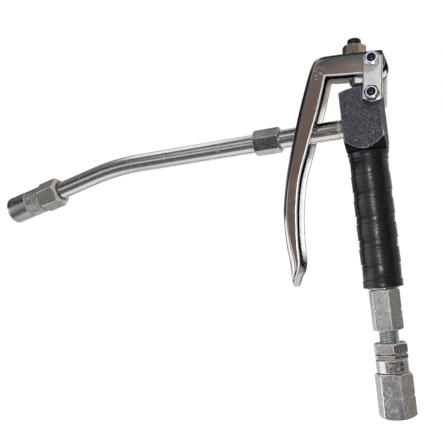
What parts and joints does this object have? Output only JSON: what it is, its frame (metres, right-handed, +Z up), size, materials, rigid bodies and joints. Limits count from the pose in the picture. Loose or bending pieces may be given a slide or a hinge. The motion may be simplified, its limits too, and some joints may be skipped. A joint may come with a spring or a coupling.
{
  "type": "grease gun",
  "caption": "Hose-fed grease control gun: valve head on a banded grip, channel trigger lever on links, bent outlet tube with a grease coupler, and a hose swivel.",
  "frame": {"origin": "on the handle's axis, at the middle of the grip", "axes": "+Z up the handle towards the valve head, -X along the outlet tube, -Y towards the pivot nuts"},
  "size_m": [0.2414, 0.0328, 0.1987],
  "materials": {
    "black_steel": "dull black phosphate",
    "black_rubber": "satin",
    "chrome": "polished",
    "zinc": "zinc plated",
    "bright_tube": "bright plated",
    "turned_steel": "turned",
    "blue_nylon": "matte",
    "brass": "turned",
    "seal_rubber": "matte",
    "spring_steel": "bright"
  },
  "bodies": {
    "gun": {"valve_body": "black_steel", "gland_nut": "zinc", "gland_collar": "black_steel", "stem_packing": "seal_rubber", "valve_seat": "brass", "valve_spring": "spring_steel", "spring_retainer": "brass", "handle_tube": "turned_steel", "grip_sleeve": "black_rubber", "inlet_adapter": "zinc", "swivel_locknut": "zinc", "swivel_flange": "zinc", "swivel_collar": "turned_steel", "swivel_oring": "seal_rubber", "swivel_clip": "spring_steel", "outlet_neck": "bright_tube", "coupling_nut": "zinc", "extension_tube": "bright_tube", "coupler_adapter": "turned_steel", "coupler_sleeve": "turned_steel", "lower_pivot_bolt": "black_steel", "lower_pivot_nut": "zinc", "lower_nut_insert": "blue_nylon"},
    "links": {"near_link": "zinc", "far_link": "zinc", "upper_pivot_bolt": "black_steel", "upper_pivot_nut": "zinc", "upper_nut_insert": "blue_nylon"},
    "trigger": {"trigger_lever": "chrome", "adjusting_screw": "black_steel", "adjusting_locknut": "zinc"},
    "stem": {"valve_stem": "zinc", "valve_ball": "spring_steel"},
    "swivel": {"swivel_nut": "zinc"},
    "coupler_jaws": {"coupler_jaw_1": "turned_steel", "coupler_jaw_2": "turned_steel", "coupler_jaw_3": "turned_steel", "coupler_jaw_4": "turned_steel", "coupler_plunger": "brass", "coupler_seal": "seal_rubber", "coupler_spring": "spring_steel"}
  },
  "joints": [
    {"name": "link_swing", "type": "hinge", "parent": "gun", "child": "links", "pos_m": [0.0069, 0, 0.0645], "axis": [0, -1, 0], "range_deg": [0, 1.5]},
    {"name": "trigger_squeeze", "type": "hinge", "parent": "links", "child": "trigger", "pos_m": [0.0089, 0, 0.0818], "axis": [0, -1, 0], "range_deg": [0, 13.6], "stiffness_Nm_per_rad": 1, "springref_deg": -22.92},
    {"name": "stem_press", "type": "slide", "parent": "gun", "child": "stem", "axis": [0, 0, -1], "range_m": [0, 0.0028], "deforming": ["valve_spring"]},
    {"name": "swivel_turn", "type": "hinge", "parent": "gun", "child": "swivel", "pos_m": [0, 0, -0.0772], "axis": [0, 0, 1], "continuous": true},
    {"name": "coupler_grip", "type": "slide", "parent": "gun", "child": "coupler_jaws", "axis": [0.9744, 0, 0.225], "range_m": [0, 0.0015], "stiffness_N_per_m": 2000, "springref_m": -0.002}
  ],
  "couplings": [
    {"joint": "link_swing", "follows": "trigger_squeeze", "ratio": 0.1},
    {"joint": "stem_press", "follows": "trigger_squeeze", "m_per_rad": 0.0117}
  ]
}
